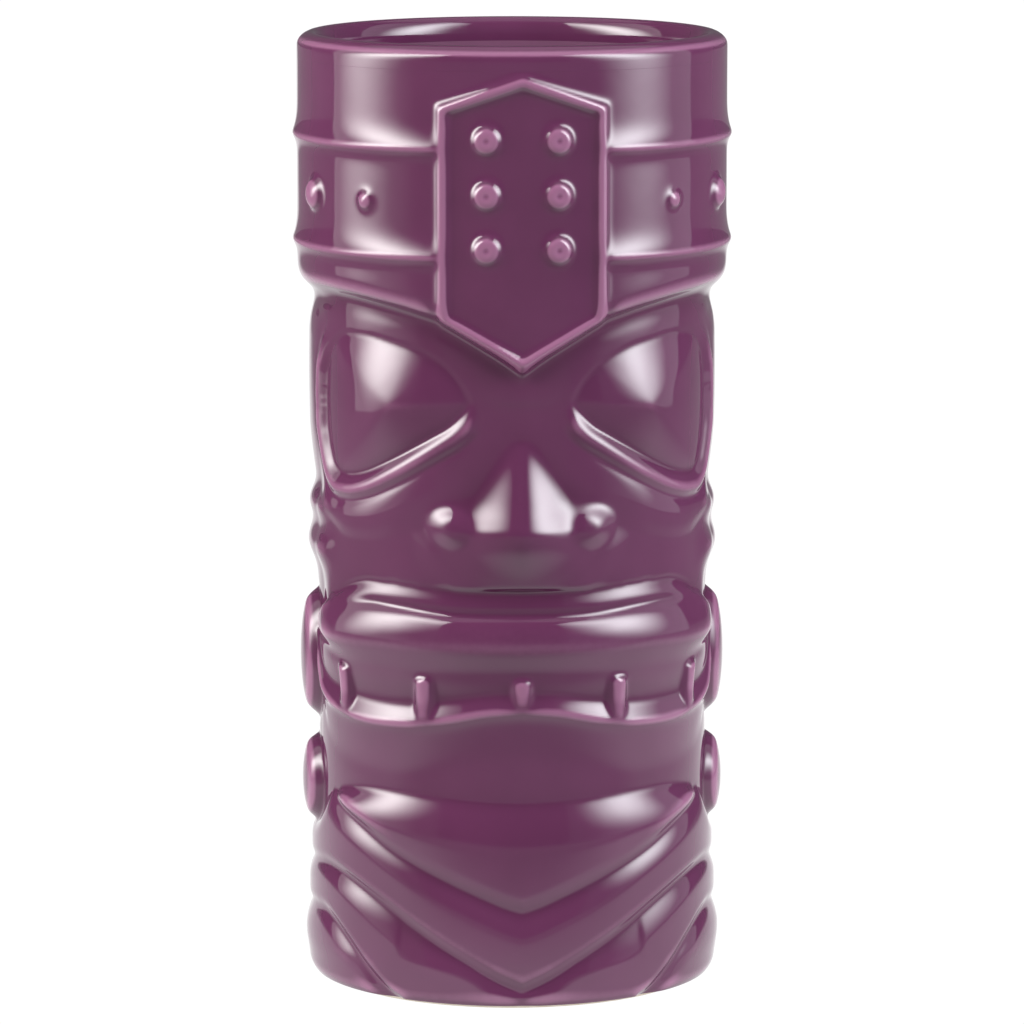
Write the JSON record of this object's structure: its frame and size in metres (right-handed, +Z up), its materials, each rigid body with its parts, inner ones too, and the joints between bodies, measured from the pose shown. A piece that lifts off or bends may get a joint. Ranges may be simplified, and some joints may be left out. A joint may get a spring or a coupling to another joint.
{
  "type": "tiki mug",
  "caption": "Tall glazed ceramic cup with a carved-looking tiki face, a studded headband and plaque, feather rows under the chin and a flat foot ring.",
  "frame": {"origin": "centre of the foot ring, on the surface the mug stands on", "axes": "+Z up along the mug's axis, the face looks along -Y, +X to the right of someone who looks at the face"},
  "size_m": [0.072, 0.0722, 0.157],
  "materials": {
    "purple_glaze": "glossy translucent purple glaze over pale clay",
    "pooled_glaze": "glossy glaze pooled thick and dark in the hollows",
    "broken_glaze": "glossy glaze worn thin and pink over raised edges",
    "bare_clay": "pale fired clay, unglazed on the foot ring"
  },
  "bodies": {
    "root": {"cup_wall": "bare_clay", "cup_floor": "bare_clay", "inner_glaze": "pooled_glaze", "foot_ring": "bare_clay", "rim": "broken_glaze", "crown_wall": "purple_glaze", "upper_ridge": "broken_glaze", "lower_ridge": "broken_glaze", "crown_hem_left": "purple_glaze", "crown_hem_right": "purple_glaze", "plaque_panel": "pooled_glaze", "plaque_frame": "broken_glaze", "plaque_studs": "broken_glaze", "large_studs": "broken_glaze", "small_studs": "broken_glaze", "brow": "purple_glaze", "eye_left": "purple_glaze", "eye_right": "purple_glaze", "lower_lid_left": "purple_glaze", "lower_lid_right": "purple_glaze", "cheek_left": "purple_glaze", "cheek_right": "purple_glaze", "nose": "purple_glaze", "muzzle": "purple_glaze", "jowl_left": "purple_glaze", "jowl_right": "purple_glaze", "upper_lip": "purple_glaze", "teeth": "pooled_glaze", "tooth_bars": "broken_glaze", "lower_lip": "purple_glaze", "jaw": "purple_glaze", "chin": "purple_glaze", "beard_upper": "purple_glaze", "beard_middle": "purple_glaze", "beard_lower_left": "purple_glaze", "beard_lower_right": "purple_glaze", "head_back": "purple_glaze", "nape_upper": "purple_glaze", "nape_middle": "purple_glaze", "nape_lower": "purple_glaze", "ear_rolls_left": "purple_glaze", "ear_rolls_right": "purple_glaze", "ear_plug_left": "broken_glaze", "ear_plug_right": "broken_glaze", "ear_drop_left": "broken_glaze", "ear_drop_right": "broken_glaze"}
  },
  "joints": []
}
